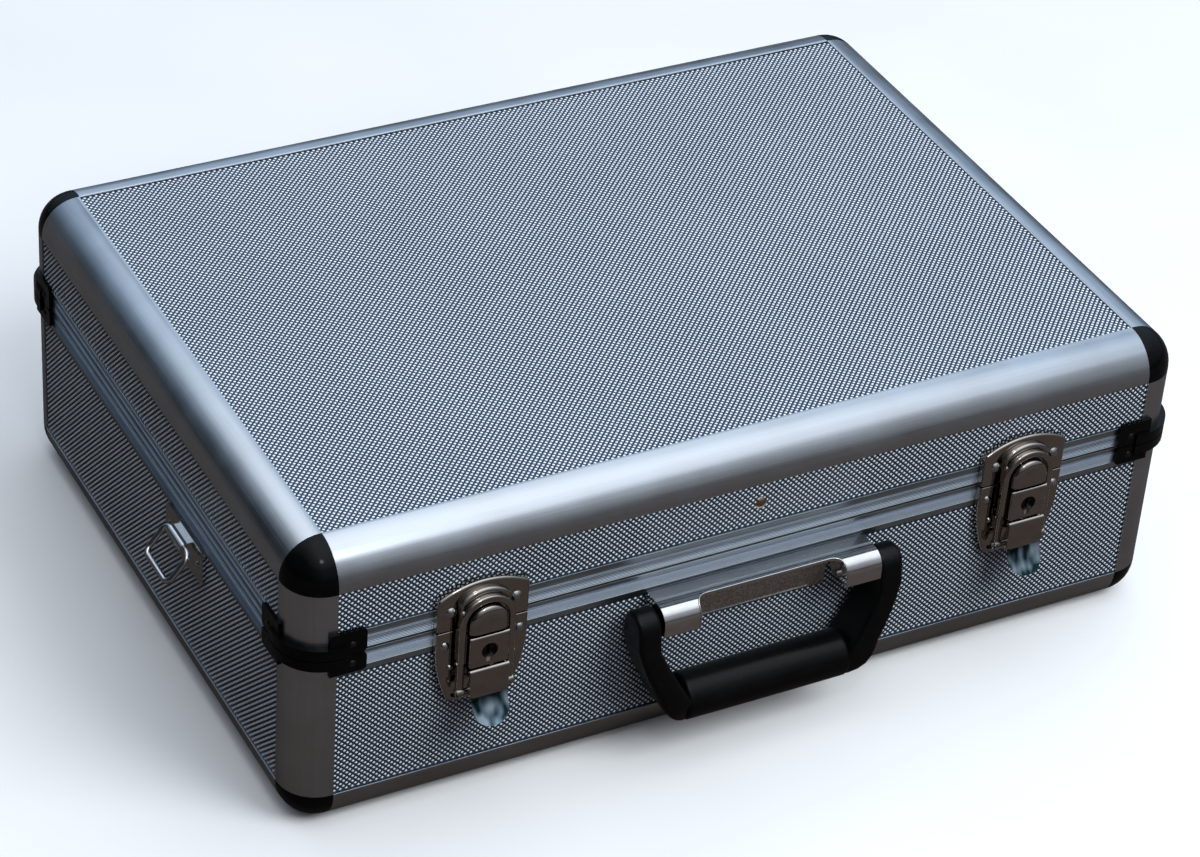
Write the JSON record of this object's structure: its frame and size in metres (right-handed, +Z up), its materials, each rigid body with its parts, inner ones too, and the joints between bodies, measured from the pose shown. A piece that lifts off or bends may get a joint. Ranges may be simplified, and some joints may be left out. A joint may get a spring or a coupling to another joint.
{
  "type": "hard shell case",
  "caption": "Hard-shell carrying case with an aluminium frame, embossed panels, key-locked draw latches, a folding handle, rear feet and strap rings.",
  "frame": {"origin": "middle of the whole object's footprint, on the surface that the case lies on", "axes": "+X to the right along the front, +Y from the handle to the hinges, +Z up out of the lid"},
  "size_m": [0.4932, 0.365, 0.1534],
  "materials": {
    "frame_aluminium": "satin anodised extrusion with fine lengthwise grain",
    "embossed_panel": "thin sheet embossed with small staggered pyramids, on a board",
    "corner_plastic": "glossy black moulding",
    "lining_fabric": "short black felt",
    "latch_chrome": "bright plated pressed steel",
    "fitting_chrome": "bright plated sheet",
    "handle_plastic": "satin black moulding",
    "foot_plastic": "satin black moulding",
    "hinge_steel": "plated steel sheet",
    "lock_steel": "dark oiled steel",
    "rivet_steel": "bright steel heads and pins"
  },
  "bodies": {
    "base": {"base_back_panel": "embossed_panel", "base_ball_corners": "corner_plastic", "base_bottom_panel": "embossed_panel", "base_corner_clamps": "corner_plastic", "base_corner_extrusions": "frame_aluminium", "base_edge_extrusions": "frame_aluminium", "base_floor_lining": "lining_fabric", "base_front_panel": "embossed_panel", "base_left_panel": "embossed_panel", "base_rear_feet": "foot_plastic", "base_right_panel": "embossed_panel", "base_rim_rails": "frame_aluminium", "base_rivets": "rivet_steel", "base_wall_linings": "lining_fabric", "handle_back_plate": "fitting_chrome", "handle_bracket": "fitting_chrome", "handle_pivot_pins": "rivet_steel", "hinge_base_leaves": "hinge_steel", "hinge_pins": "rivet_steel", "left_latch_plate": "latch_chrome", "left_lock_housing": "latch_chrome", "left_strap_plate": "fitting_chrome", "lever_pins": "rivet_steel", "right_latch_plate": "latch_chrome", "right_lock_housing": "latch_chrome", "right_strap_plate": "fitting_chrome"},
    "lid": {"lid_back_panel": "embossed_panel", "lid_ball_corners": "corner_plastic", "lid_centre_rivet": "rivet_steel", "lid_corner_clamps": "corner_plastic", "lid_corner_extrusions": "frame_aluminium", "lid_edge_extrusions": "frame_aluminium", "lid_front_panel": "embossed_panel", "lid_left_panel": "embossed_panel", "lid_rear_feet": "foot_plastic", "lid_right_panel": "embossed_panel", "lid_rim_rails": "frame_aluminium", "lid_rivets": "rivet_steel", "lid_roof_lining": "lining_fabric", "lid_top_panel": "embossed_panel", "lid_wall_linings": "lining_fabric", "left_keeper_plate": "latch_chrome", "right_keeper_plate": "latch_chrome", "hinge_lid_leaves": "hinge_steel"},
    "left_lever": {"left_latch_lever": "latch_chrome", "left_loop_pin": "rivet_steel"},
    "left_loop": {"left_latch_loop": "latch_chrome"},
    "left_key": {"left_key_plug": "lock_steel"},
    "left_ring": {"left_strap_ring": "fitting_chrome"},
    "right_lever": {"right_latch_lever": "latch_chrome", "right_loop_pin": "rivet_steel"},
    "right_loop": {"right_latch_loop": "latch_chrome"},
    "right_key": {"right_key_plug": "lock_steel"},
    "right_ring": {"right_strap_ring": "fitting_chrome"},
    "handle": {"handle_grip": "handle_plastic"}
  },
  "joints": [
    {"name": "lid_hinge", "type": "hinge", "parent": "base", "child": "lid", "pos_m": [0, 0.1767, 0.1], "axis": [-1, 0, 0], "range_deg": [0, 95]},
    {"name": "left_latch_lever", "type": "hinge", "parent": "base", "child": "left_lever", "pos_m": [-0.1414, -0.1664, 0.0784], "axis": [-1, 0, 0], "range_deg": [0, 95]},
    {"name": "left_latch_loop", "type": "hinge", "parent": "left_lever", "child": "left_loop", "pos_m": [-0.1414, -0.1646, 0.067], "axis": [-1, 0, 0], "range_deg": [-120, 0]},
    {"name": "left_key_turn", "type": "hinge", "parent": "base", "child": "left_key", "pos_m": [-0.1414, -0.164, 0.0901], "axis": [0, -1, 0], "range_deg": [0, 90]},
    {"name": "right_latch_lever", "type": "hinge", "parent": "base", "child": "right_lever", "pos_m": [0.1414, -0.1664, 0.0784], "axis": [-1, 0, 0], "range_deg": [0, 95]},
    {"name": "right_latch_loop", "type": "hinge", "parent": "right_lever", "child": "right_loop", "pos_m": [0.1414, -0.1646, 0.067], "axis": [-1, 0, 0], "range_deg": [-120, 0]},
    {"name": "right_key_turn", "type": "hinge", "parent": "base", "child": "right_key", "pos_m": [0.1414, -0.164, 0.0901], "axis": [0, -1, 0], "range_deg": [0, 90]},
    {"name": "handle_swing", "type": "hinge", "parent": "base", "child": "handle", "pos_m": [0, -0.168, 0.079], "axis": [-1, 0, 0], "range_deg": [0, 95]},
    {"name": "left_ring_swing", "type": "hinge", "parent": "base", "child": "left_ring", "pos_m": [-0.2342, -0.033, 0.083], "axis": [0, 1, 0], "range_deg": [-38, 100]},
    {"name": "right_ring_swing", "type": "hinge", "parent": "base", "child": "right_ring", "pos_m": [0.2342, -0.033, 0.083], "axis": [0, -1, 0], "range_deg": [-38, 100]}
  ],
  "couplings": [
    {"joint": "left_latch_loop", "follows": "left_latch_lever", "ratio": -1.25},
    {"joint": "right_latch_loop", "follows": "right_latch_lever", "ratio": -1.25}
  ]
}
